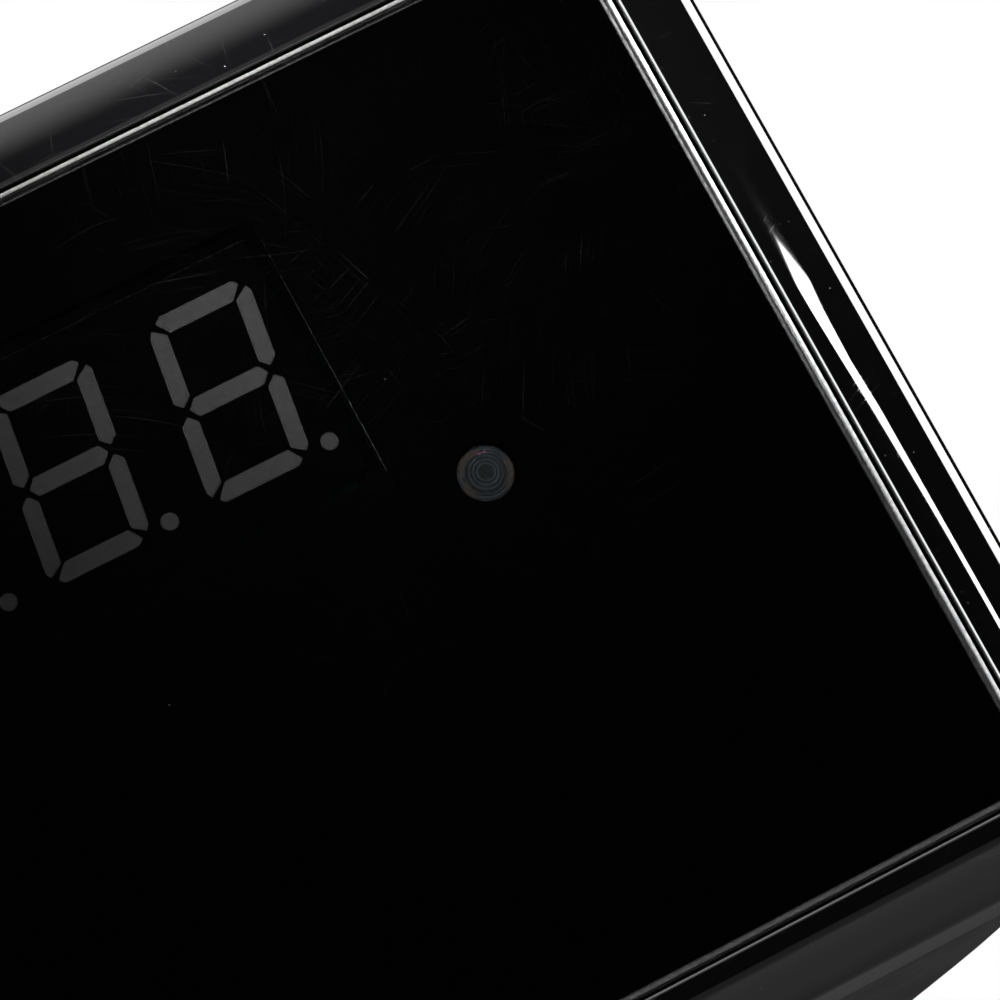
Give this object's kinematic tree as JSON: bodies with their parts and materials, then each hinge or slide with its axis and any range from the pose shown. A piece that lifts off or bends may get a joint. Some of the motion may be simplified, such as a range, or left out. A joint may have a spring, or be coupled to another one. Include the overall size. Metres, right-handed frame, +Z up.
{
  "type": "digital timing light",
  "caption": "Pistol-grip digital timing light: smoked display window behind a glossy bezel, flash lamp in the nose, sprung trigger, push-buttons and a flat foot.",
  "frame": {"origin": "middle of the foot's underside, on the surface that the object stands on", "axes": "+Z up along the grip, +Y along the barrel to the lamp's lens, display facing -Y, +X to the right of a user who reads the display"},
  "size_m": [0.105, 0.192, 0.2078],
  "materials": {
    "smoked_acrylic": "polished, see-through",
    "gloss_black": "polished",
    "satin_black": "fine texture",
    "grey_plastic": "satin",
    "digit_epoxy": "frosted",
    "led_resin": "clear",
    "lens_glass": "clear",
    "reflector": "mirror-bright",
    "black_aluminium": "anodised",
    "black_rubber": "matte",
    "steel": "zinc plated",
    "brass": "plain",
    "circuit_board": "solder mask",
    "ceramic": "unglazed",
    "ferrite": "dull",
    "winding": "taped copper wire",
    "capacitor": "shrink sleeve",
    "red_wire": "insulation"
  },
  "bodies": {
    "body": {"panel_window": "smoked_acrylic", "panel_bezel": "gloss_black", "display_mask": "satin_black", "display_case": "satin_black", "display_casting": "digit_epoxy", "display_board": "circuit_board", "status_led": "led_resin", "housing_left": "gloss_black", "housing_right": "gloss_black", "trigger_switch": "satin_black", "key_board": "circuit_board", "key_switch_down": "satin_black", "key_switch_mode": "satin_black", "key_switch_up": "satin_black", "reflector": "reflector", "tube_holder": "ceramic", "flash_tube": "lens_glass", "tube_cap": "steel", "front_lens": "lens_glass", "lens_retainer": "black_aluminium", "nose_ring": "black_rubber", "main_board": "circuit_board", "inverter_core": "ferrite", "inverter_winding_rear": "winding", "inverter_winding_front": "winding", "flash_capacitor": "capacitor", "trigger_coil": "satin_black", "supply_wire_black": "black_rubber", "supply_wire_red": "red_wire", "lead_socket": "satin_black", "grip_sleeve": "black_rubber", "foot_pad": "black_rubber", "board_screw_1": "steel", "board_screw_2": "steel", "board_screw_3": "steel", "board_screw_4": "steel", "housing_screw_1": "steel", "housing_screw_2": "steel", "housing_screw_3": "steel", "housing_screw_4": "steel", "housing_screw_5": "steel", "housing_screw_6": "steel", "socket_pin_1": "brass", "socket_pin_2": "brass", "socket_pin_3": "brass"},
    "trigger": {"trigger": "grey_plastic"},
    "button_down": {"button_down": "grey_plastic"},
    "button_mode": {"button_mode": "grey_plastic"},
    "button_up": {"button_up": "grey_plastic"}
  },
  "joints": [
    {"name": "trigger_pull", "type": "slide", "parent": "body", "child": "trigger", "axis": [0, -1, 0], "range_m": [0, 0.005], "stiffness_N_per_m": 700, "springref_m": -0.004},
    {"name": "button_down_press", "type": "slide", "parent": "body", "child": "button_down", "axis": [0, 0, -1], "range_m": [0, 0.0012], "stiffness_N_per_m": 1200, "springref_m": -0.0008},
    {"name": "button_mode_press", "type": "slide", "parent": "body", "child": "button_mode", "axis": [0, 0, -1], "range_m": [0, 0.0012], "stiffness_N_per_m": 1200, "springref_m": -0.0008},
    {"name": "button_up_press", "type": "slide", "parent": "body", "child": "button_up", "axis": [0, 0, -1], "range_m": [0, 0.0012], "stiffness_N_per_m": 1200, "springref_m": -0.0008}
  ]
}
